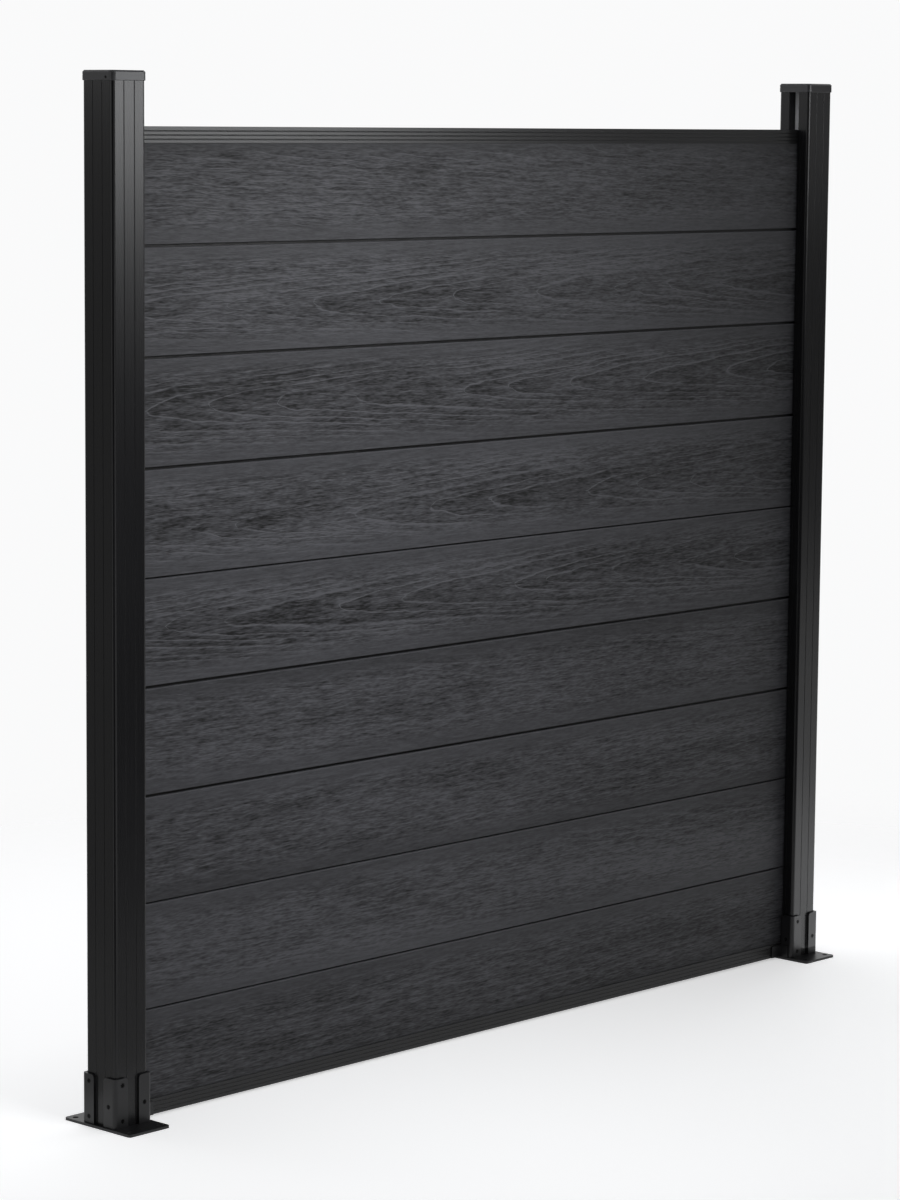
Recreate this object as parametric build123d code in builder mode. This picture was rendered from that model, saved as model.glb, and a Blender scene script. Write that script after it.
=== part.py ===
"""One bay of composite fencing: slotted posts on floor plates, grooved rails and interlocking boards.

Millimetres. X runs along the panel, Y from front to back, Z up. The origin is on the floor, under the
middle of the panel. The front of the panel faces -Y.
"""
from build123d import *
import os

# Driving dimensions of the bay
post_spacing = 2000.0
board_count = 9
board_height = 196.7
board_thickness = 20.0
post_above_rail = 96.0

# Boards, and the shadow gaps between them: open at most joints, closed up at a few, counted from the top
open_seam = 4.5
tight_seam = 2.4
tight_joints = {4, 7, 8}
seam_chamfer = 1.2
tongue_thickness = 8.0
tongue_height = 13.0
tongue_side_clearance = 0.3
tongue_end_clearance = 0.3
tongue_chamfer = 1.0

# Rails
rail_height = 30.0
rail_web = 2.0
rail_wall = 1.8
rail_board_clearance = 0.25
rail_edge_radius = 0.6
groove_radius = 1.5
groove_depth = 0.8
groove_first = 8.0
groove_pitch = 7.6
groove_count = 3

# Posts
post_size = 80.0
post_corner_radius = 7.0
post_wall = 2.0
slot_depth = 21.0
slot_clearance = 0.45
slot_mouth_radius = 1.0
panel_in_slot = 17.0

# Infill strips
strip_clearance = 0.3
strip_wall = 1.8
strip_leg = 14.0
strip_edge_radius = 1.0

# Post caps
cap_height = 18.2
cap_top = 2.5
cap_wall = 2.0
cap_clearance = 0.3
cap_bevel = 3.0
cap_lip_bevel = 0.8
cap_line_drop = 7.5
cap_line_height = 1.0
cap_line_depth = 0.5

# Base plates
plate_length = 180.0
plate_width = 100.0
plate_thickness = 5.0
plate_corner_radius = 6.0
anchor_hole_radius = 5.5
anchor_inset_x = 14.0
anchor_inset_y = 16.0

# Upright angles of the bases
angle_height = 93.0
angle_thickness = 5.0
angle_clearance = 0.3
angle_bend_radius = 8.0
angle_gap_margin = 0.8
angle_top_radius = 7.0

# Clips at the ends of the bottom rail
clip_height = 26.0
clip_reach = 32.0
clip_foot = 22.0
clip_thickness = 2.5
clip_clearance = 0.3
clip_bend_radius = 4.0

# Countersunk screws of the bases
screw_edge_inset = 18.5
screw_pair_inset = 13.0
screw_single_height = 40.0
screw_shank_radius = 2.1
screw_head_radius = 4.3
screw_length = 12.0
screw_sink = 0.4

# Cap screws
cap_screw_shank_radius = 1.4
cap_screw_head_radius = 2.7
cap_screw_length = 9.0
cap_screw_inset = 17.0
cap_screw_drop = 12.5
cap_screw_sink = 0.1

# All screws have heads of a right angle and a cross recess
head_angle = 90
shank_clearance = 0.2
head_clearance = 0.1
recess_span_share = 1.3
recess_width_share = 0.3
recess_depth_share = 0.5

# Values worked out from the above
board_length = post_spacing - post_size + 2 * panel_in_slot
board_bottom = plate_thickness + rail_web
seams = [tight_seam if joint in tight_joints else open_seam for joint in range(1, board_count)]
board_top = board_bottom + board_count * board_height + sum(seams)
rail_width = board_thickness + 2 * (rail_board_clearance + rail_wall)
top_rail_top = board_top + tongue_height + rail_web
slot_width = rail_width + 2 * slot_clearance
post_top = top_rail_top + post_above_rail
post_length = post_top - plate_thickness
strip_width = slot_width - 2 * strip_clearance
cap_size = post_size + 2 * (cap_clearance + cap_wall)
cap_radius = post_corner_radius + cap_clearance + cap_wall
cap_z = post_top + cap_top
angle_inside = post_size / 2 + angle_clearance
angle_outside = angle_inside + angle_thickness
angle_leg = angle_outside - slot_width / 2 - angle_gap_margin
anchor_spacing_x = plate_width - 2 * anchor_inset_x
anchor_spacing_y = plate_length - 2 * anchor_inset_y

SIDES = {"left": -1, "right": 1}
POST_FACES = 4
QUARTER_TURN = 90
BOTTOM = (Align.CENTER, Align.MIN)
OUTWARD = (Align.CENTER, Align.CENTER, Align.MAX)
quarter_turns = [step * QUARTER_TURN for step in range(POST_FACES)]


def turned(x: float, z: float, turn: float) -> Plane:
    """Level plane at a post's centre line, turned about it by a number of degrees."""
    return Plane(Location((x, 0, z), (0, 0, turn)))


def seat(x: float, turn: float, along: float, out: float, z: float) -> Location:
    """Place on one of a post's four sides, its z axis pointing straight out of that side."""
    side = Location((x, 0, z), (0, 0, turn))
    return side * Location((along, -out, 0), (90, 0, 0))


def angle_screw_seats(x: float, turn: float) -> list[Location]:
    """Screw places of one angle: a pair in its front wing and a single one in its side wing."""
    along = angle_outside - screw_edge_inset
    low = plate_thickness + screw_pair_inset
    high = plate_thickness + angle_height - screw_pair_inset
    middle = plate_thickness + screw_single_height
    return [
        seat(x, turn, -along, angle_outside, low),
        seat(x, turn, -along, angle_outside, high),
        seat(x, turn - QUARTER_TURN, along, angle_outside, middle),
    ]


def cap_screw_seat(x: float, sign: int) -> Location:
    """Place of a cap's screw, on the side away from the panel, near the front corner."""
    along = cap_size / 2 - cap_screw_inset
    return seat(x, sign * QUARTER_TURN, -sign * along, cap_size / 2, cap_z - cap_screw_drop)


def add_screws(places: list[Location], sink: float, shank: float, head: float, length: float) -> None:
    """Countersunk screws in the part being built, sunk below their places, with cross recesses."""
    with Locations(*[place * Location((0, 0, -sink)) for place in places]):
        Cylinder(shank, length, align=OUTWARD)
        Cone(shank, head, head - shank, align=OUTWARD)
        span = recess_span_share * head
        width = recess_width_share * head
        depth = recess_depth_share * head
        Box(span, width, depth, align=OUTWARD, mode=Mode.SUBTRACT)
        Box(width, span, depth, align=OUTWARD, mode=Mode.SUBTRACT)


os.makedirs("parts", exist_ok=True)

# Boards, numbered from the top, each standing on the tongue of the one below
for index in range(board_count):
    seam_below = seams[index] if index < len(seams) else open_seam
    foot = board_top - (index + 1) * board_height - sum(seams[:index])
    with BuildPart() as board:
        end_plane = Plane((-board_length / 2, 0, foot), x_dir=(0, 1, 0), z_dir=(1, 0, 0))
        with BuildSketch(end_plane) as section:
            Rectangle(board_thickness, board_height, align=BOTTOM)
            chamfer(section.vertices(), seam_chamfer)
            with Locations((0, board_height)):
                Rectangle(tongue_thickness, tongue_height, align=BOTTOM)
            chamfer(section.vertices().group_by(Axis.Y)[-1], tongue_chamfer)
            mouth_width = tongue_thickness + 2 * tongue_side_clearance
            mouth_depth = tongue_height - seam_below + tongue_end_clearance
            Rectangle(mouth_width, mouth_depth, align=BOTTOM, mode=Mode.SUBTRACT)
        extrude(amount=board_length)
    board.part.label = f"board_{index + 1}"
    export_step(board.part, f"parts/{board.part.label}.step")

# Rails: one grooved channel, closed side down at the bottom and closed side up at the top
rail_places = {"bottom_rail": (plate_thickness, 1), "top_rail": (top_rail_top, -1)}
for node, (closed_z, opens) in rail_places.items():
    with BuildPart() as rail:
        end_plane = Plane((-board_length / 2, 0, closed_z), x_dir=(0, opens, 0), z_dir=(1, 0, 0))
        with BuildSketch(end_plane) as section:
            Rectangle(rail_width, rail_height, align=BOTTOM)
            fillet(section.vertices(), rail_edge_radius)
            with Locations((0, rail_web)):
                Rectangle(rail_width - 2 * rail_wall, rail_height, align=BOTTOM, mode=Mode.SUBTRACT)
            groove_centre = rail_width / 2 + groove_radius - groove_depth
            for step in range(groove_count):
                height = groove_first + step * groove_pitch
                with Locations((-groove_centre, height), (groove_centre, height)):
                    Circle(groove_radius, mode=Mode.SUBTRACT)
        extrude(amount=board_length)
    rail.part.label = node
    export_step(rail.part, f"parts/{node}.step")

for side, sign in SIDES.items():
    post_x = sign * post_spacing / 2
    outer_turn = sign * QUARTER_TURN
    seats = [place for turn in quarter_turns for place in angle_screw_seats(post_x, turn)]
    cap_seat = cap_screw_seat(post_x, sign)

    # Post: four slots round a hollow core
    with BuildPart() as post:
        with BuildSketch(Plane((post_x, 0, plate_thickness))) as section:
            RectangleRounded(post_size, post_size, post_corner_radius)
            with PolarLocations(post_size / 2, POST_FACES):
                Rectangle(2 * slot_depth, slot_width, mode=Mode.SUBTRACT)
            slot_mouths = section.vertices().group_by(SortBy.DISTANCE)[1]
            fillet(slot_mouths, slot_mouth_radius)
            with BuildSketch(mode=Mode.SUBTRACT):
                hollow = post_size - 2 * post_wall
                RectangleRounded(hollow, hollow, post_corner_radius - post_wall)
                with PolarLocations(post_size / 2, POST_FACES):
                    Rectangle(2 * (slot_depth + post_wall), slot_width + 2 * post_wall, mode=Mode.SUBTRACT)
        extrude(amount=post_length)
        with Locations(*seats):
            Hole(screw_shank_radius + shank_clearance, depth=screw_length)
        with Locations(cap_seat):
            Hole(cap_screw_shank_radius + shank_clearance, depth=cap_screw_length)
    post.part.label = f"{side}_post"
    export_step(post.part, f"parts/{side}_post.step")

    # Infill strips: shallow channels, flush with the post
    strip_turns = {"front": 0, "outer": outer_turn, "back": 2 * QUARTER_TURN}
    for face, turn in strip_turns.items():
        with BuildPart() as strip:
            with BuildSketch(turned(post_x, plate_thickness, turn)) as section:
                with Locations((0, -post_size / 2)):
                    Rectangle(strip_width, strip_leg, align=BOTTOM)
                fillet(section.vertices(), strip_edge_radius)
                with Locations((0, strip_wall - post_size / 2)):
                    Rectangle(strip_width - 2 * strip_wall, strip_leg, align=BOTTOM, mode=Mode.SUBTRACT)
            extrude(amount=post_length)
        strip.part.label = f"{side}_{face}_strip"
        export_step(strip.part, f"parts/{strip.part.label}.step")

    # Cap: a shell pushed over the post, with a fine line round its skirt
    with BuildPart() as cap:
        with BuildSketch(Plane((post_x, 0, cap_z - cap_height))):
            RectangleRounded(cap_size, cap_size, cap_radius)
        extrude(amount=cap_height)
        chamfer(cap.edges().group_by(Axis.Z)[-1], cap_bevel)
        chamfer(cap.edges().group_by(Axis.Z)[0], cap_lip_bevel)
        with BuildSketch(Plane((post_x, 0, cap_z - cap_height))):
            inside = post_size + 2 * cap_clearance
            RectangleRounded(inside, inside, post_corner_radius + cap_clearance)
        extrude(amount=cap_height - cap_top, mode=Mode.SUBTRACT)
        with BuildSketch(Plane((post_x, 0, cap_z - cap_line_drop))):
            RectangleRounded(cap_size, cap_size, cap_radius)
            line_inside = cap_size - 2 * cap_line_depth
            RectangleRounded(line_inside, line_inside, cap_radius - cap_line_depth, mode=Mode.SUBTRACT)
        extrude(amount=-cap_line_height, mode=Mode.SUBTRACT)
        with Locations(cap_seat):
            mouth = cap_screw_head_radius + cap_screw_sink + head_clearance
            CounterSinkHole(cap_screw_shank_radius + shank_clearance, mouth, cap_screw_length, head_angle)
    cap.part.label = f"{side}_post_cap"
    export_step(cap.part, f"parts/{side}_post_cap.step")

    # Base plate with an anchor hole near each corner
    with BuildPart() as plate:
        with BuildSketch(Plane((post_x, 0, 0))):
            RectangleRounded(plate_width, plate_length, plate_corner_radius)
            with GridLocations(anchor_spacing_x, anchor_spacing_y, 2, 2):
                Circle(anchor_hole_radius, mode=Mode.SUBTRACT)
        extrude(amount=plate_thickness)
    plate.part.label = f"{side}_base_plate"
    export_step(plate.part, f"parts/{side}_base_plate.step")

    # Upright angles, one round each corner of the post
    lateral = {"left": ("outer", "inner"), "right": ("inner", "outer")}[side]
    corner_names = [f"front_{lateral[0]}", f"front_{lateral[1]}", f"back_{lateral[1]}", f"back_{lateral[0]}"]
    for corner, turn in zip(corner_names, quarter_turns):
        with BuildPart() as angle:
            with BuildSketch(turned(post_x, plate_thickness, turn)) as section:
                with Locations((-angle_outside, -angle_outside)):
                    Rectangle(angle_leg, angle_leg, align=Align.MIN)
                fillet(section.vertices().group_by(SortBy.DISTANCE)[-1], angle_bend_radius)
                with BuildSketch(mode=Mode.SUBTRACT) as hollow:
                    with Locations((-angle_inside, -angle_inside)):
                        Rectangle(angle_leg, angle_leg, align=Align.MIN)
                    inside_corner = hollow.vertices().group_by(SortBy.DISTANCE)[-1]
                    fillet(inside_corner, angle_bend_radius - angle_thickness)
            extrude(amount=angle_height)
            top_lines = angle.edges().group_by(Axis.Z)[-1].filter_by(GeomType.LINE)
            wing_tips = top_lines.group_by(SortBy.LENGTH)[0]
            fillet(wing_tips, angle_top_radius)
            with Locations(*angle_screw_seats(post_x, turn)):
                mouth = screw_head_radius + screw_sink + head_clearance
                CounterSinkHole(screw_shank_radius + shank_clearance, mouth, screw_length, head_angle)
        angle.part.label = f"{side}_{corner}_angle"
        export_step(angle.part, f"parts/{angle.part.label}.step")

    # Clips beside the end of the bottom rail, their feet against the inner angles
    for face, across in {"front": -1, "back": 1}.items():
        with BuildPart() as clip:
            with BuildSketch(Plane((post_x, 0, plate_thickness))) as section:
                near = rail_width / 2 + clip_clearance
                outline = [
                    (angle_outside, near),
                    (angle_outside + clip_reach, near),
                    (angle_outside + clip_reach, near + clip_thickness),
                    (angle_outside + clip_thickness, near + clip_thickness),
                    (angle_outside + clip_thickness, near + clip_foot),
                    (angle_outside, near + clip_foot),
                ]
                with BuildLine():
                    Polyline([(-sign * x, across * y) for x, y in outline], close=True)
                make_face()
                bend = section.vertices().sort_by(SortBy.DISTANCE)
                fillet(bend[0], clip_bend_radius)
                fillet(bend[1], clip_bend_radius - clip_thickness)
            extrude(amount=clip_height)
        clip.part.label = f"{side}_{face}_rail_clip"
        export_step(clip.part, f"parts/{clip.part.label}.step")

    # Screws of the base and of the cap
    with BuildPart() as base_screws:
        add_screws(seats, screw_sink, screw_shank_radius, screw_head_radius, screw_length)
    base_screws.part.label = f"{side}_base_screws"
    export_step(base_screws.part, f"parts/{side}_base_screws.step")

    with BuildPart() as cap_screw:
        cap_screw_radii = (cap_screw_shank_radius, cap_screw_head_radius)
        add_screws([cap_seat], cap_screw_sink, *cap_screw_radii, cap_screw_length)
    cap_screw.part.label = f"{side}_cap_screw"
    export_step(cap_screw.part, f"parts/{side}_cap_screw.step")
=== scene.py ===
"""Dresses one bay of composite fencing: wood-grain boards between slotted posts on bolt-down bases.

Every size is in metres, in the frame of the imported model: X along the panel, Y to the back, Z up.
"""
import logging
import math
from dataclasses import dataclass
from enum import Enum

import bpy
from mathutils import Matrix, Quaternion, Vector


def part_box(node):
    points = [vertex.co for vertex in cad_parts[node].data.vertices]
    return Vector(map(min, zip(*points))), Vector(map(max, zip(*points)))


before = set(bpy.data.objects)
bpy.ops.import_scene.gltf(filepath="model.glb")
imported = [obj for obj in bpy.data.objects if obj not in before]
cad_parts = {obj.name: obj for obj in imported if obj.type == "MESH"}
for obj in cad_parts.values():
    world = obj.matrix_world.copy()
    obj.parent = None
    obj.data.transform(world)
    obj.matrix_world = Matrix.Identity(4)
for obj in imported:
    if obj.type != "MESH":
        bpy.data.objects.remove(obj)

log = logging.getLogger("fence_panel")

Colour = tuple[float, float, float]
Point = tuple[float, float, float]
Stops = tuple[tuple[float, float], ...]
Socket = bpy.types.NodeSocket
Inputs = dict[str | int, object]

IMAGE_SIZE = (900, 1200)
SENSOR = 36.0
OPAQUE = 1.0
MIDDLE = 0.5

SIDES = ("left", "right")
RAILS = ("top_rail", "bottom_rail")
STRIP_FACES = ("front", "outer", "back")
ANGLE_CORNERS = ("front_outer", "front_inner", "back_outer", "back_inner")
CLIP_FACES = ("front", "back")
RIGHT_FRONT_METAL = (
    "right_post",
    "right_front_strip",
    "right_base_plate",
    "right_base_screws",
    "right_front_outer_angle",
    "right_front_inner_angle",
    "right_front_rail_clip",
)


class Drawn(Enum):
    """The way a profile was drawn through its die, as the scale of its fine lines along X, Y and Z."""

    ALONG_PANEL = (2.0, 900.0, 900.0)
    UPRIGHT = (900.0, 900.0, 2.0)
    PRESSED = (260.0, 260.0, 260.0)


class Shows(Enum):
    """Where a lamp's light is seen."""

    IN_GLOSS = "gloss"
    ON_MATT = "matt"


@dataclass(frozen=True)
class Speckle:
    """A smooth random field.

    Attributes:
        stretch: How many times the field changes in a metre along X, Y and Z.
        weight: How much the field counts.
        detail: How many finer layers are added.
        rough: How strong each finer layer is.
    """

    stretch: Point
    weight: float = 1.0
    detail: float = 2.0
    rough: float = 0.5


class Sheet:
    """The node tree of a material or of the surroundings, filled node by node."""

    def __init__(self, owner: bpy.types.Material | bpy.types.World) -> None:
        """Empties the owner's node tree.

        Args:
            owner: The material or world that the nodes belong to.
        """
        owner.use_nodes = True
        self.owner = owner
        self.tree = owner.node_tree
        self.tree.nodes.clear()

    def feed(self, socket: Socket, value: object) -> None:
        """Links a socket to another node's output, or sets it to a constant.

        Args:
            socket: The input that is fed.
            value: An output socket, a number or a row of numbers.
        """
        if isinstance(value, Socket):
            self.tree.links.new(value, socket)
        else:
            socket.default_value = value

    def node(self, kind: str, inputs: Inputs, **settings: object) -> bpy.types.Node:
        """Adds a node.

        Args:
            kind: Blender's name of the node's type.
            inputs: What each input is fed, by name or by place.
            settings: The node's own properties.

        Returns:
            The new node.
        """
        made = self.tree.nodes.new(kind)
        for name, value in settings.items():
            setattr(made, name, value)
        for key, value in inputs.items():
            self.feed(made.inputs[key], value)
        return made

    def math(self, operation: str, first: object, *others: object) -> Socket:
        """Works out one value from one or more, taken from left to right.

        Args:
            operation: Blender's name of the sum.
            first: The first value or socket.
            others: The values or sockets that follow.

        Returns:
            The socket with the result.
        """
        result = first
        for other in others or (0.0,):
            result = self.node("ShaderNodeMath", {0: result, 1: other}, operation=operation).outputs[0]
        return result

    def place(self, shift: Point = (0.0, 0.0, 0.0)) -> Socket:
        """Gives the point on the piece, in metres, moved by a shift.

        Args:
            shift: How far the pattern's own centre is moved along X, Y and Z.

        Returns:
            The socket with the moved point.
        """
        spot = self.node("ShaderNodeTexCoord", {}).outputs["Object"]
        moved = self.node("ShaderNodeMapping", {"Vector": spot, "Location": shift})
        return moved.outputs["Vector"]

    def axes(self, point: Socket) -> bpy.types.NodeOutputs:
        """Splits a point into its three axes."""
        return self.node("ShaderNodeSeparateXYZ", {0: point}).outputs

    def noise(self, point: Socket, speckle: Speckle) -> Socket:
        """Gives a random field, centred on zero.

        Args:
            point: The socket with the point.
            speckle: The field's scale and strength.

        Returns:
            The socket with the field, from about minus half its weight to half its weight.
        """
        scaled = self.node("ShaderNodeVectorMath", {0: point, 1: speckle.stretch}, operation="MULTIPLY")
        inputs = {"Vector": scaled.outputs[0], "Scale": 1.0}
        inputs.update({"Detail": speckle.detail, "Roughness": speckle.rough})
        field = self.node("ShaderNodeTexNoise", inputs).outputs[0]
        return self.math("MULTIPLY", self.math("SUBTRACT", field, MIDDLE), speckle.weight)

    def fade(self, value: object, start: float, end: float, first: float = 0.0, last: float = 1.0) -> Socket:
        """Runs smoothly from one value to another.

        Args:
            value: The socket that the result depends on.
            start: Where the run starts.
            end: Where the run ends.
            first: The result up to the start.
            last: The result from the end on.

        Returns:
            The socket with the result.
        """
        limits = {"Value": value, "From Min": start, "From Max": end, "To Min": first, "To Max": last}
        return self.node("ShaderNodeMapRange", limits, interpolation_type="SMOOTHSTEP").outputs[0]

    def ramp(self, value: object, stops: Stops) -> Socket:
        """Bends a value through a few stops.

        Args:
            value: The socket that is bent.
            stops: Pairs of the place on the ramp and the grey there, both from 0 to 1.

        Returns:
            The socket with the bent value.
        """
        bent = self.node("ShaderNodeValToRGB", {"Fac": value})
        elements = bent.color_ramp.elements
        while len(elements) < len(stops):
            elements.new(MIDDLE)
        for element, (position, grey) in zip(elements, stops):
            element.position = position
            element.color = (grey, grey, grey, OPAQUE)
        return bent.outputs["Color"]

    def blend(self, share: object, first: object, second: object) -> Socket:
        """Mixes two colours.

        Args:
            share: How much of the second colour there is.
            first: The first colour or socket.
            second: The second colour or socket.

        Returns:
            The socket with the mixed colour.
        """
        mixed = self.node("ShaderNodeMix", {0: share}, data_type="RGBA")
        colours = [socket for socket in mixed.inputs if socket.type == "RGBA"]
        for socket, colour in zip(colours, (first, second)):
            self.feed(socket, colour if isinstance(colour, Socket) else (*colour, OPAQUE))
        return [socket for socket in mixed.outputs if socket.type == "RGBA"][0]

    def bump(self, height: object, strength: float, distance: float) -> Socket:
        """Turns a height into a bent normal.

        Args:
            height: The socket with the height, from 0 to 1.
            strength: How much of the bump is used.
            distance: How high the bump stands, in metres.

        Returns:
            The socket with the normal.
        """
        inputs = {"Height": height, "Strength": strength, "Distance": distance}
        return self.node("ShaderNodeBump", inputs).outputs["Normal"]

    def seen_share(self) -> Socket:
        """Tells rays that show a surface from rays that light one.

        Returns:
            The socket that is 1 for camera, glossy and transmission rays.
        """
        path = self.node("ShaderNodeLightPath", {}).outputs
        kinds = ("Is Camera Ray", "Is Glossy Ray", "Is Transmission Ray")
        return self.math("MAXIMUM", *[path[kind] for kind in kinds])

    def surface(self, inputs: Inputs) -> bpy.types.Material:
        """Ends the material in one principled surface.

        Args:
            inputs: What each of the surface's inputs is fed.

        Returns:
            The finished material.
        """
        skin = self.node("ShaderNodeBsdfPrincipled", inputs)
        self.node("ShaderNodeOutputMaterial", {"Surface": skin.outputs[0]})
        return self.owner


@dataclass(frozen=True)
class Grain:
    """The sockets that tell where a point lies in the plank's growth rings, each from 0 to 1.

    Attributes:
        share: The way from one ring to the next, towards the heart.
        line: How much of the pale line between two rings covers the point.
        nearness: How near the point is to the heart line.
    """

    share: Socket
    line: Socket
    nearness: Socket


@dataclass(frozen=True)
class BoardFinish:
    """Matt charcoal composite, embossed with the rings and pores of a flat-sawn plank.

    The rings are cones round a heart line that runs along the plank, a little below its face. A tone from
    0 to 1 holds the whole pattern and sets the colour, the roughness and the relief.

    Attributes:
        name: The material's name.
        heart: How far the heart line lies above the board's middle.
        shift: Where along the pattern this board was cut.
        loops: How strongly the rings show.
        base_tone: The tone that the pattern varies about.
        dark: The colour at a tone of 0.
        light: The colour at a tone of 1.
        seam_shade_colour: The near-black of the painted shade in the seams between boards.
        specular: How strongly the surface mirrors.
        dark_roughness: The roughness at a tone of 0.
        roughness_drop: How much less rough it is at a tone of 1.
        ring_spacing: How far the rings lie apart.
        taper: How fast the cones narrow along the plank.
        heart_depth: How far the heart line lies below the face.
        heart_reach: How far to each side the heart shows.
        heart_shade: How much darker the heart is.
        wander: How the heart line strays up and down.
        waver: How the rings bend in long waves.
        jitter: How the rings bend in short kinks.
        uneven: How the widths of the rings differ.
        ring_profile: The tone on the way from one ring to the next.
        ring_middle: The tone of the rings that counts as neither dark nor light.
        line_width: How far the pale line between two rings reaches.
        line_light: How much lighter that line is.
        far_line: How much of that line is left far from the heart.
        patch: Where the rings show more and where less.
        patch_profile: How strongly the rings show in those patches.
        ripple: How the fibres wave.
        fibre: The long streaks along the plank.
        pores: The short streaks along the plank.
        cloud: The broad light and dark areas.
        plain_edge: How far from the middle of the face the pattern starts and ends its fade.
        plain_share: How much of the pattern is left at the edges.
        chamfer: How high the broken edge at the foot is, which is painted near-black as shade.
        rim_height: How high the painted highlight at the top of the face is.
        rim_highlight: How much lighter the painted highlight makes that rim.
        emboss: How high the relief stands.
        emboss_share: How much of the relief is used.
    """

    name: str
    heart: float
    shift: float
    loops: float
    base_tone: float

    dark: Colour = (0.0035, 0.0035, 0.0038)
    light: Colour = (0.066, 0.0664, 0.0733)
    seam_shade_colour: Colour = (0.002, 0.002, 0.002)
    specular: float = 0.25
    dark_roughness: float = 0.60
    roughness_drop: float = 0.16

    ring_spacing: float = 0.0090
    taper: float = 0.043
    heart_depth: float = 0.042
    heart_reach: float = 0.045
    heart_shade: float = 0.15
    wander: Speckle = Speckle((1.1, 0.0, 0.0), 0.030)
    waver: Speckle = Speckle((3.2, 0.0, 16.0), 0.011)
    jitter: Speckle = Speckle((17.0, 0.0, 46.0), 0.0034)
    uneven: Speckle = Speckle((55.0, 0.0, 0.0), 0.014, 0.0)

    ring_profile: Stops = ((0.0, 0.34), (0.12, 0.14), (0.45, 0.28), (0.85, 0.44), (1.0, 0.48))
    ring_middle: float = 0.40
    line_width: float = 0.0024
    line_light: float = 0.85
    far_line: float = 0.30
    patch: Speckle = Speckle((2.2, 5.0, 14.0))
    patch_profile: Stops = ((0.30, 0.15), (0.58, 1.0))

    ripple: Speckle = Speckle((9.0, 9.0, 30.0), 0.006, 1.0)
    fibre: Speckle = Speckle((22.0, 60.0, 200.0), 1.45, 2.0, 0.6)
    pores: Speckle = Speckle((60.0, 120.0, 360.0), 1.1, 1.0, 0.6)
    cloud: Speckle = Speckle((1.6, 8.0, 12.0), 0.85)

    plain_edge: tuple[float, float] = (0.050, 0.088)
    plain_share: float = 0.36
    chamfer: float = 0.0012
    rim_height: float = 0.0024
    rim_highlight: float = 0.35
    emboss: float = 0.0009
    emboss_share: float = 0.8

    def rippled(self, sheet: Sheet, point: Socket) -> Socket:
        """Moves points up and down in short waves, so that the fibres do not run dead straight.

        Args:
            sheet: The material that is being filled.
            point: The socket with the point.

        Returns:
            The socket with the moved point.
        """
        lift = sheet.node("ShaderNodeCombineXYZ", {"Z": sheet.noise(point, self.ripple)}).outputs[0]
        return sheet.node("ShaderNodeVectorMath", {0: point, 1: lift}, operation="ADD").outputs[0]

    def rings(self, sheet: Sheet, point: Socket) -> Grain:
        """Works out where a point lies between two growth rings and how near it is to the heart.

        Args:
            sheet: The material that is being filled.
            point: The socket with the point, centred on the plank's heart line.

        Returns:
            The sockets of the grain at the point.
        """
        axes = sheet.axes(point)
        across = sheet.math("ADD", axes["Z"], sheet.noise(point, self.wander))
        squared = sheet.math("MULTIPLY", across, across)
        nearness = sheet.math("EXPONENT", sheet.math("DIVIDE", squared, -self.heart_reach ** 2))
        radius = sheet.math("SQRT", sheet.math("ADD", squared, self.heart_depth ** 2))
        bent = sheet.math("ADD", radius, sheet.noise(point, self.waver), sheet.noise(point, self.jitter))
        depth = sheet.math("SUBTRACT", bent, sheet.math("MULTIPLY", axes["X"], self.taper))
        row = sheet.node("ShaderNodeCombineXYZ", {"X": depth}).outputs[0]
        stepped = sheet.math("ADD", depth, sheet.noise(row, self.uneven))
        share = sheet.math("FRACT", sheet.math("DIVIDE", stepped, -self.ring_spacing))
        lean = sheet.math("DIVIDE", squared, radius, radius)
        slope = sheet.math("SQRT", sheet.math("ADD", lean, self.taper ** 2))
        nearer = sheet.math("MINIMUM", share, sheet.math("SUBTRACT", 1.0, share))
        gap = sheet.math("DIVIDE", sheet.math("MULTIPLY", nearer, self.ring_spacing), slope)
        line = sheet.fade(gap, 0.0, self.line_width, 1.0, 0.0)
        return Grain(share, line, nearness)

    def pattern(self, sheet: Sheet, point: Socket, grain: Grain, fibre_point: Socket) -> Socket:
        """Adds up the rings, fibres, pores and clouds.

        Args:
            sheet: The material that is being filled.
            point: The socket with the point, centred on the plank's heart line.
            grain: The grain at the point.
            fibre_point: The socket with the rippled point.

        Returns:
            The socket with the pattern, centred on zero.
        """
        near = sheet.math("ADD", sheet.math("MULTIPLY", grain.nearness, 1.0 - self.far_line), self.far_line)
        line = sheet.math("MULTIPLY", grain.line, near, self.line_light)
        ring = sheet.math("ADD", sheet.ramp(grain.share, self.ring_profile), line)
        patch = sheet.math("ADD", sheet.noise(point, self.patch), MIDDLE)
        strength = sheet.ramp(patch, self.patch_profile)
        loops = sheet.math("MULTIPLY", sheet.math("SUBTRACT", ring, self.ring_middle), strength, self.loops)
        fibre = sheet.noise(fibre_point, self.fibre)
        pores = sheet.noise(fibre_point, self.pores)
        return sheet.math("ADD", loops, fibre, pores, sheet.noise(point, self.cloud))

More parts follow.
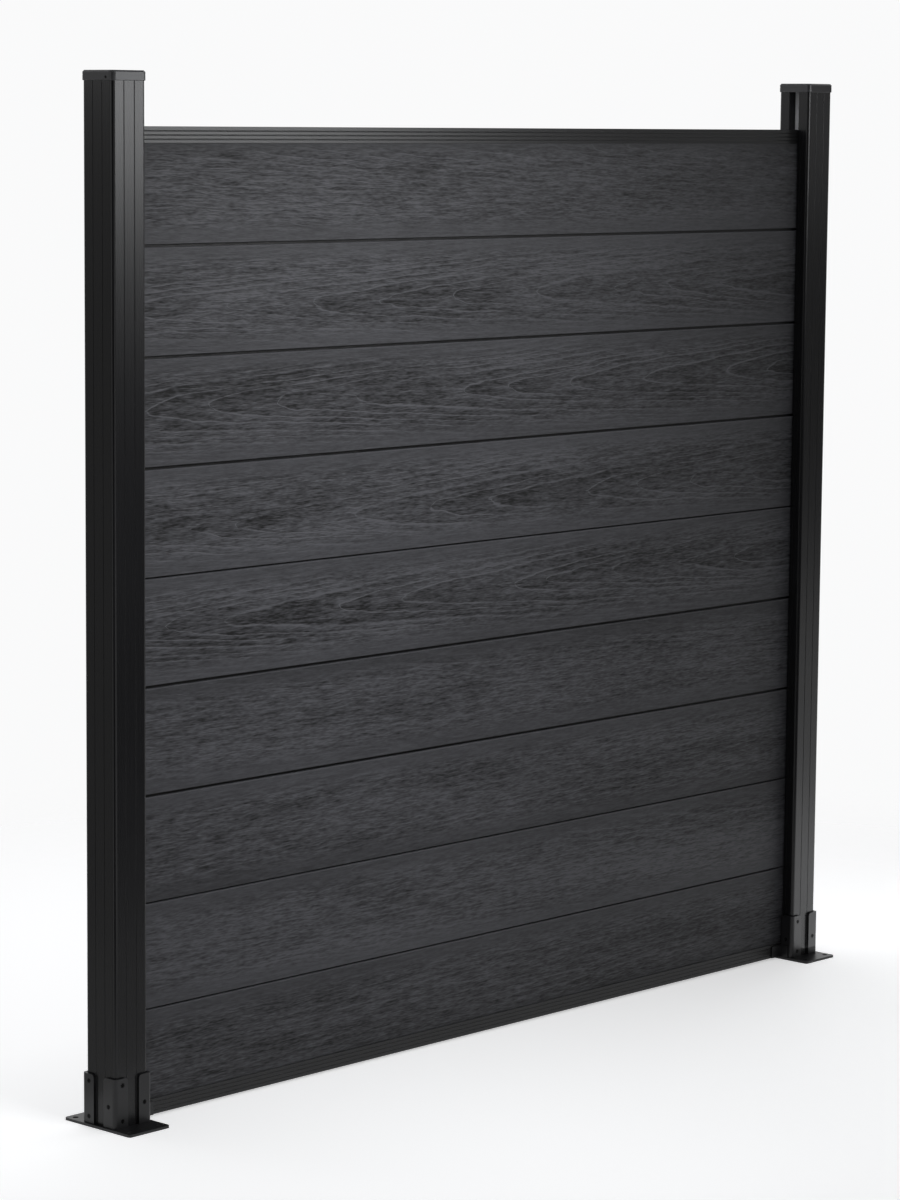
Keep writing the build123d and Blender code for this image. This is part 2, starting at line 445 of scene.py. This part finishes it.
    def tone(self, sheet: Sheet, point: Socket, height: Socket, half_height: float) -> Socket:
        """Fits the pattern to the board: quieter near its edges, with a painted highlight along its top rim
        and a darker heart.

        Args:
            sheet: The material that is being filled.
            point: The socket with the point, centred on the plank's heart line.
            height: The socket with the height above the middle of the board's face.
            half_height: Half the height of the board's face.

        Returns:
            The socket with the tone, from 0 to 1.
        """
        fibre_point = self.rippled(sheet, point)
        grain = self.rings(sheet, fibre_point)
        pattern = self.pattern(sheet, point, grain, fibre_point)
        embossed = sheet.fade(sheet.math("ABSOLUTE", height), *self.plain_edge, 1.0, self.plain_share)
        # Painted highlight: the top of the face is made lighter, for the light that its chamfer catches from
        # above.
        rim = sheet.math("GREATER_THAN", height, half_height - self.rim_height)
        pale = sheet.math("MULTIPLY", rim, self.rim_highlight)
        tone = sheet.math("ADD", sheet.math("MULTIPLY", pattern, embossed), self.base_tone, pale)
        tone = sheet.math("SUBTRACT", tone, sheet.math("MULTIPLY", grain.nearness, self.heart_shade))
        return sheet.math("MINIMUM", sheet.math("MAXIMUM", tone, 0.0), 1.0)

    def make(self, foot: float, face_height: float) -> bpy.types.Material:
        """Makes the board's material, with painted shade in the seams.

        Args:
            foot: The height of the board's foot.
            face_height: How tall the board's face is, without its tongue.

        Returns:
            The material.
        """
        sheet = Sheet(bpy.data.materials.new(self.name))
        half_height = face_height / 2
        middle = foot + half_height
        height = sheet.math("SUBTRACT", sheet.axes(sheet.place())["Z"], middle)
        point = sheet.place((self.shift, 0.0, -middle - self.heart))
        tone = self.tone(sheet, point, height, half_height)
        # Painted shade: the chamfer at the foot and the tongue above the face are made near-black, for the
        # shadow down in the seams.
        below = sheet.math("LESS_THAN", height, self.chamfer - half_height)
        painted_seam_shade = sheet.math("MAXIMUM", below, sheet.math("GREATER_THAN", height, half_height))
        colour = sheet.blend(painted_seam_shade, sheet.blend(tone, self.dark, self.light), self.seam_shade_colour)
        drop = sheet.math("MULTIPLY", tone, self.roughness_drop)
        return sheet.surface({
            "Base Color": colour,
            "Roughness": sheet.math("SUBTRACT", self.dark_roughness, drop),
            "Specular IOR Level": self.specular,
            "Normal": sheet.bump(tone, self.emboss_share, self.emboss),
        })


@dataclass(frozen=True)
class CoatFinish:
    """Black powder coat, with the faint lines of the drawn or pressed metal under it.

    Attributes:
        name: The material's name.
        colour: The coat's middle colour.
        roughness: The coat's middle roughness.
        drawn: The way that the lines run.
        specular: How strongly the coat mirrors.
        darkest: The share of the colour where the coat is darkest.
        lightest: The share of the colour where the coat is lightest.
        line_share: How much the lines change the roughness.
        line_tint: How much the lines change the colour.
        line_relief: How much the lines add to the relief.
        skin: The fine bumps of the coat.
        cloud: The broad light and dark areas.
        peel: How high the relief stands.
        peel_share: How much of the relief is used.
    """

    name: str
    colour: Colour
    roughness: float
    drawn: Drawn

    specular: float = 0.28
    darkest: float = 0.70
    lightest: float = 1.35
    line_share: float = 0.04
    line_tint: float = 0.15
    line_relief: float = 0.25
    skin: Speckle = Speckle((420.0, 420.0, 420.0), 1.0, 1.0)
    cloud: Speckle = Speckle((4.0, 4.0, 4.0))
    peel: float = 0.00004
    peel_share: float = 0.35

    def coat(self, sheet: Sheet) -> Inputs:
        """Works out the coat's surface.

        Args:
            sheet: The material that is being filled.

        Returns:
            What each of the surface's inputs is fed.
        """
        point = sheet.place()
        lines = sheet.noise(point, Speckle(self.drawn.value))
        cloud = sheet.noise(point, self.cloud)
        tint = sheet.math("ADD", sheet.math("MULTIPLY", lines, self.line_tint), cloud, MIDDLE)
        darker = tuple(self.darkest * part for part in self.colour)
        lighter = tuple(self.lightest * part for part in self.colour)
        gloss = sheet.math("ADD", sheet.math("MULTIPLY", lines, self.line_share), self.roughness)
        skin = sheet.noise(point, self.skin)
        relief = sheet.math("ADD", skin, sheet.math("MULTIPLY", lines, self.line_relief))
        return {
            "Base Color": sheet.blend(tint, darker, lighter),
            "Roughness": gloss,
            "Specular IOR Level": self.specular,
            "Normal": sheet.bump(relief, self.peel_share, self.peel),
        }

    def make(self) -> bpy.types.Material:
        """Makes the coat's material.

        Returns:
            The material.
        """
        sheet = Sheet(bpy.data.materials.new(self.name))
        return sheet.surface(self.coat(sheet))


@dataclass(frozen=True)
class PostFinish(CoatFinish):
    """The posts' coat, left off at the bottom of the slot that faces the boards, where a near-white colour
    is a painted reflection of the uncoated metal.

    Attributes:
        bare_metal_reflection: The near-white colour of the uncoated metal, a painted reflection.
        slot_place: How far the slot's bottom lies from the middle of the panel.
        slot_half_width: Half the width of the slot.
        slot_margin: How far from the slot's bottom a point still counts as on it.
    """

    bare_metal_reflection: Colour = (0.93, 0.94, 0.96)
    slot_place: float = 0.981
    slot_half_width: float = 0.0124
    slot_margin: float = 0.0006

    def coat(self, sheet: Sheet) -> Inputs:
        """Adds the uncoated strip to the coat, in a near-white that is a painted reflection.

        Args:
            sheet: The material that is being filled.

        Returns:
            What each of the surface's inputs is fed.
        """
        inputs = super().coat(sheet)
        axes = sheet.axes(sheet.place())
        depth = sheet.math("SUBTRACT", sheet.math("ABSOLUTE", axes["X"]), self.slot_place)
        deep = sheet.math("LESS_THAN", sheet.math("ABSOLUTE", depth), self.slot_margin)
        level = sheet.math("LESS_THAN", sheet.math("ABSOLUTE", axes["Y"]), self.slot_half_width)
        # Painted reflection: the slot's bottom is coloured near-white, for the bright gloss of the uncoated
        # metal there.
        in_slot = sheet.math("MULTIPLY", deep, level)
        inputs["Base Color"] = sheet.blend(in_slot, inputs["Base Color"], self.bare_metal_reflection)
        return inputs


def dress(node: str, material: bpy.types.Material) -> None:
    """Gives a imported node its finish.

    Args:
        node: The node's name.
        material: Its new material.
    """
    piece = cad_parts[node]
    piece.data.materials.clear()
    piece.data.materials.append(material)
    log.info("%s wears %s", node, material.name)


@dataclass
class BoardStack:
    """The tongue-and-groove boards, numbered from the top.

    Attributes:
        face_height: How tall a board's face is, without its tongue.
        hearts: How far each board's heart line lies above its middle.
        shifts: Where along the pattern each board was cut.
        loops: How strongly each board's rings show.
        tones: The tone that each board's pattern varies about.
    """

    face_height: float = 0.1967
    hearts: tuple[float, ...] = (0.085, -0.012, 0.004, -0.02, 0.006, 0.10, -0.11, 0.09, -0.085)
    shifts: tuple[float, ...] = (0.3, 1.7, 5.12, 3.9, 8.33, 11.6, 14.2, 17.5, 20.3)
    loops: tuple[float, ...] = (0.50, 0.70, 0.88, 0.66, 0.78, 0.40, 0.38, 0.45, 0.40)
    tones: tuple[float, ...] = (0.59, 0.63, 0.57, 0.60, 0.56, 0.54, 0.55, 0.68, 0.53)

    def dress(self) -> None:
        """Gives each board its own length of the embossed pattern."""
        rows = zip(self.hearts, self.shifts, self.loops, self.tones)
        for number, (heart, shift, loops, tone) in enumerate(rows, start=1):
            node = f"board_{number}"
            low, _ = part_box(node)
            finish = BoardFinish(f"composite_{node}", heart, shift, loops, tone)
            dress(node, finish.make(low.z, self.face_height))


@dataclass
class Metalwork:
    """The posts, strips, rails, caps and bases.

    Attributes:
        post_finish: The coat of the posts and their strips.
        rail_finish: The coat of the rails.
        cap_finish: The coat of the caps.
        base_finish: The coat of the plates, angles and clips.
        screw_finish: The coat of the screws.
    """

    post_finish: CoatFinish = PostFinish(
        name="black_post_coat", colour=(0.0068, 0.0068, 0.0074), roughness=0.27, drawn=Drawn.UPRIGHT)
    rail_finish: CoatFinish = CoatFinish(
        name="black_rail_coat", colour=(0.0085, 0.0085, 0.009), roughness=0.30, drawn=Drawn.ALONG_PANEL,
        specular=0.31)
    cap_finish: CoatFinish = CoatFinish(
        name="black_cap_coat", colour=(0.048, 0.048, 0.051), roughness=0.33, drawn=Drawn.PRESSED)
    base_finish: CoatFinish = CoatFinish(
        name="black_base_coat", colour=(0.010, 0.010, 0.011), roughness=0.38, drawn=Drawn.PRESSED,
        specular=0.36)
    screw_finish: CoatFinish = CoatFinish(
        name="dark_screw_coat", colour=(0.0015, 0.0015, 0.0015), roughness=0.45, drawn=Drawn.PRESSED,
        specular=0.12)

    def dress(self) -> None:
        """Gives every metal node its coat."""
        posts = self.post_finish.make()
        rails = self.rail_finish.make()
        caps = self.cap_finish.make()
        bases = self.base_finish.make()
        screws = self.screw_finish.make()
        for rail in RAILS:
            dress(rail, rails)
        for side in SIDES:
            dress(f"{side}_post", posts)
            for face in STRIP_FACES:
                dress(f"{side}_{face}_strip", posts)
            dress(f"{side}_post_cap", caps)
            dress(f"{side}_base_plate", bases)
            for corner in ANGLE_CORNERS:
                dress(f"{side}_{corner}_angle", bases)
            for face in CLIP_FACES:
                dress(f"{side}_{face}_rail_clip", bases)
            dress(f"{side}_base_screws", screws)
            dress(f"{side}_cap_screw", screws)


@dataclass
class Softbox:
    """A rectangular studio lamp.

    Attributes:
        name: The lamp's name.
        place: Where it hangs.
        target: What it is turned to.
        size: Its width and height.
        radiance: How bright its face is.
        shows: Whether it is seen in gloss or on matt surfaces.
        spread: How wide it shines, in degrees.
        receivers: The only nodes that it lights, or none where it lights everything.
        colour: The colour of its light.
    """

    name: str
    place: Point
    target: Point
    size: tuple[float, float]
    radiance: float
    shows: Shows
    spread: float = 180.0
    receivers: tuple[str, ...] = ()
    colour: Colour = (0.975, 0.985, 1.0)

    def build(self) -> bpy.types.Object:
        """Hangs the lamp and turns it to its target.

        Returns:
            The lamp.
        """
        width, height = self.size
        data = bpy.data.lights.new(self.name, "AREA")
        data.shape = "RECTANGLE"
        data.size = width
        data.size_y = height
        data.spread = math.radians(self.spread)
        data.color = self.colour
        data.energy = self.radiance * width * height * math.pi
        lamp = bpy.data.objects.new(self.name, data)
        bpy.context.scene.collection.objects.link(lamp)
        lamp.location = self.place
        away = Vector(self.target) - Vector(self.place)
        lamp.rotation_mode = "QUATERNION"
        lamp.rotation_quaternion = away.to_track_quat("-Z", "Y")
        lamp.visible_camera = False
        lamp.visible_glossy = self.shows is Shows.IN_GLOSS
        lamp.visible_diffuse = self.shows is Shows.ON_MATT
        if self.receivers:
            self.restrict(lamp)
        log.info("lamp %s hangs at %s", self.name, self.place)
        return lamp

    def restrict(self, lamp: bpy.types.Object) -> None:
        """Lets the lamp light its receivers alone.

        Args:
            lamp: The lamp.
        """
        group = bpy.data.collections.new(f"{self.name}_receivers")
        for node in self.receivers:
            group.objects.link(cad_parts[node])
        lamp.light_linking.receiver_collection = group


@dataclass
class Flag:
    """A black or grey card that only shows in gloss.

    Attributes:
        name: The card's name.
        place: Where its middle is.
        target: What it faces.
        size: Its width and height.
        grey: How bright it is.
    """

    name: str
    place: Point
    target: Point
    size: tuple[float, float]
    grey: float = 0.0

    def build(self) -> bpy.types.Object:
        """Stands the card up and turns it to its target.

        Returns:
            The card.
        """
        bpy.ops.object.select_all(action="DESELECT")
        bpy.ops.mesh.primitive_plane_add(size=1.0, location=self.place)
        card = bpy.context.object
        card.name = self.name
        card.scale = (*self.size, 1.0)
        away = Vector(self.target) - Vector(self.place)
        card.rotation_mode = "QUATERNION"
        card.rotation_quaternion = away.to_track_quat("Z", "Y")
        sheet = Sheet(bpy.data.materials.new(self.name))
        glow = sheet.node("ShaderNodeEmission", {"Strength": self.grey})
        sheet.node("ShaderNodeOutputMaterial", {"Surface": glow.outputs[0]})
        card.data.materials.append(sheet.owner)
        card.visible_camera = False
        card.visible_diffuse = False
        card.visible_shadow = False
        card.visible_transmission = False
        log.info("card %s stands at %s", self.name, self.place)
        return card


@dataclass
class Studio:
    """The pale floor, the white surroundings, the lamps and the cards.

    Attributes:
        white: The colour of the surroundings, and of what the floor is lifted by.
        daylight: The colour of the light from all round.
        ambient: The strength of the light from all round.
        floor_colour: The colour of the floor.
        floor_size: How wide the floor is.
        floor_lift: How much the floor is lifted to white where it is seen.
        fade_start: How far from the panel's middle the floor starts to fade.
        fade_end: How far from the panel's middle the floor has faded away.
    """

    white: Colour = (0.955, 0.956, 0.960)
    daylight: Colour = (1.0, 1.0, 1.0)
    ambient: float = 0.16
    floor_colour: Colour = (0.90, 0.90, 0.905)
    floor_size: float = 40.0
    floor_lift: float = 0.51
    fade_start: float = 1.5
    fade_end: float = 3.0

    def lamps(self) -> tuple[Softbox, ...]:
        """Lists the lamps.

        Returns:
            The lamps of this studio.
        """
        return (
            Softbox("front_right_softbox", place=(1.30, -2.43, 2.12), target=(-0.6, 0.0, 1.8),
                    size=(1.3, 0.86), radiance=10.0, shows=Shows.IN_GLOSS),
            Softbox("upper_key_softbox", place=(-0.24, -2.0, 1.66), target=(-0.20, 0.0, 1.32),
                    size=(0.9, 0.9), radiance=2.05, shows=Shows.ON_MATT, spread=75.0),
            Softbox("lower_key_softbox", place=(-0.84, -2.0, 1.12), target=(-0.76, 0.0, 0.78),
                    size=(0.9, 0.9), radiance=1.9, shows=Shows.ON_MATT, spread=83.0),
            Softbox("back_left_softbox", place=(-2.5, 1.70, 2.55), target=(-1.0, 0.0, 1.9),
                    size=(1.0, 0.9), radiance=2.2, shows=Shows.IN_GLOSS),
            Softbox("right_softbox", place=(3.1, -1.65, 2.05), target=(1.0, 0.0, 1.8),
                    size=(0.5, 0.9), radiance=0.7, shows=Shows.IN_GLOSS),
            Softbox("edge_softbox", place=(-3.4, 0.30, 2.2), target=(-1.0, 0.0, 1.6),
                    size=(0.5, 0.9), radiance=2.5, shows=Shows.IN_GLOSS),
            Softbox("overhead_softbox", place=(0.2, 0.9, 4.6), target=(0.2, 0.9, 0.0),
                    size=(3.6, 3.4), radiance=2.8, shows=Shows.ON_MATT),
            Softbox("floor_softbox", place=(2.1, 0.40, 2.4), target=(1.10, -1.00, 0.0),
                    size=(0.8, 0.8), radiance=1.3, shows=Shows.ON_MATT, spread=70.0),
            Softbox("right_floor_softbox", place=(1.75, -0.70, 0.02), target=(1.75, -0.70, 1.0),
                    size=(1.5, 1.5), radiance=1.2, shows=Shows.IN_GLOSS, receivers=RIGHT_FRONT_METAL),
        )

    def flags(self) -> tuple[Flag, ...]:
        """Lists the cards.

        Returns:
            The cards of this studio.
        """
        return (
            Flag("camera_side_card", place=(-6.4, -6.0, 2.0), target=(0.0, 0.0, 1.6), size=(9.0, 7.0)),
            Flag("corner_card", place=(-1.56, -0.60, 0.62), target=(-1.04, -0.04, 0.62), size=(0.7, 1.24)),
            Flag("overhead_card", place=(0.0, -1.0, 5.2), target=(0.0, -1.0, 0.0), size=(9.0, 9.0)),
            Flag("front_right_card", place=(2.6, -3.2, 2.0), target=(0.2, 0.0, 1.6), size=(6.5, 3.3),
                 grey=0.15),
            Flag("front_card", place=(0.65, -1.25, 0.70), target=(0.65, 0.0, 0.70), size=(1.9, 1.4)),
            Flag("left_floor_card", place=(-1.62, 0.62, 0.02), target=(-1.62, 0.62, 1.0), size=(1.0, 1.0),
                 grey=0.50),
            Flag("front_floor_card", place=(-0.42, -0.66, 0.02), target=(-0.42, -0.66, 1.0), size=(0.8, 0.8),
                 grey=0.50),
            Flag("valance_card", place=(0.2, -0.45, 2.20), target=(0.2, 0.0, 2.20), size=(2.4, 0.40)),
            Flag("back_left_card", place=(-1.95, 1.05, 0.98), target=(-1.04, 0.0, 0.98), size=(2.2, 1.96),
                 grey=0.35),
        )

    def build_world(self) -> bpy.types.World:
        """Makes the surroundings white to look at and softer as a light.

        Returns:
            The surroundings.
        """
        world = bpy.data.worlds.new("white_surroundings")
        bpy.context.scene.world = world
        sheet = Sheet(world)
        seen = sheet.node("ShaderNodeBackground", {"Color": (*self.white, OPAQUE), "Strength": 1.0})
        glow = {"Color": (*self.daylight, OPAQUE), "Strength": self.ambient}
        light = sheet.node("ShaderNodeBackground", glow)
        parts = {0: sheet.seen_share(), 1: light.outputs[0], 2: seen.outputs[0]}
        mixed = sheet.node("ShaderNodeMixShader", parts)
        sheet.node("ShaderNodeOutputWorld", {"Surface": mixed.outputs[0]})
        log.info("surroundings made")
        return world

    def build_floor(self) -> bpy.types.Object:
        """Lays the pale floor, which fades into the surroundings far from the panel.

        Returns:
            The floor.
        """
        bpy.ops.object.select_all(action="DESELECT")
        bpy.ops.mesh.primitive_plane_add(size=self.floor_size)
        floor = bpy.context.object
        floor.name = "studio_floor"
        sheet = Sheet(bpy.data.materials.new("pale_floor"))
        chalk = sheet.node("ShaderNodeBsdfDiffuse", {"Color": (*self.floor_colour, OPAQUE)})
        lift = sheet.math("MULTIPLY", sheet.seen_share(), self.floor_lift)
        glow = sheet.node("ShaderNodeEmission", {"Color": (*self.white, OPAQUE), "Strength": lift})
        pale = sheet.node("ShaderNodeAddShader", {0: chalk.outputs[0], 1: glow.outputs[0]})
        reach = sheet.node("ShaderNodeVectorMath", {0: sheet.place()}, operation="LENGTH").outputs["Value"]
        fade = sheet.fade(reach, self.fade_start, self.fade_end)
        clear = sheet.node("ShaderNodeBsdfTransparent", {})
        parts = {0: fade, 1: pale.outputs[0], 2: clear.outputs[0]}
        whole = sheet.node("ShaderNodeMixShader", parts)
        sheet.node("ShaderNodeOutputMaterial", {"Surface": whole.outputs[0]})
        floor.data.materials.append(sheet.owner)
        log.info("floor laid")
        return floor

    def build(self) -> None:
        """Sets up the whole studio."""
        bpy.context.scene.view_settings.view_transform = "Standard"
        self.build_world()
        self.build_floor()
        for lamp in self.lamps():
            lamp.build()
        for flag in self.flags():
            flag.build()


@dataclass
class PhotoCamera:
    """The camera, at the place and angle that the panel was taken from.

    Attributes:
        place: Where it stands.
        yaw: How far it is turned from Y towards X, in degrees.
        pitch: How far it looks down, in degrees.
        roll: How far it leans to its left, in degrees.
        focal_pixels: Its focal length, in the photo's pixels.
    """

    place: Point = (-5.5021, -5.0288, 1.8418)
    yaw: float = 46.976
    pitch: float = 7.330
    roll: float = 0.480
    focal_pixels: float = 3750.0

    def build(self) -> bpy.types.Object:
        """Makes the camera and makes it the scene's own.

        Returns:
            The camera.
        """
        data = bpy.data.cameras.new("photo_camera")
        data.sensor_width = SENSOR
        data.lens = self.focal_pixels * SENSOR / max(IMAGE_SIZE)
        camera = bpy.data.objects.new("photo_camera", data)
        bpy.context.scene.collection.objects.link(camera)
        camera.location = self.place
        yaw = math.radians(self.yaw)
        pitch = math.radians(self.pitch)
        level = math.cos(pitch)
        ahead = Vector((math.sin(yaw) * level, math.cos(yaw) * level, -math.sin(pitch)))
        turn = Quaternion((0.0, 0.0, 1.0), math.radians(self.roll))
        camera.rotation_mode = "QUATERNION"
        camera.rotation_quaternion = ahead.to_track_quat("-Z", "Y") @ turn
        bpy.context.scene.camera = camera
        log.info("camera stands at %s", self.place)
        return camera


def main() -> None:
    """Builds the scene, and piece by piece."""
    logging.basicConfig(level=logging.INFO, format="%(message)s")
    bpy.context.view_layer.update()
    BoardStack().dress()
    Metalwork().dress()
    Studio().build()
    PhotoCamera().build()


if __name__ == "__main__":
    main()
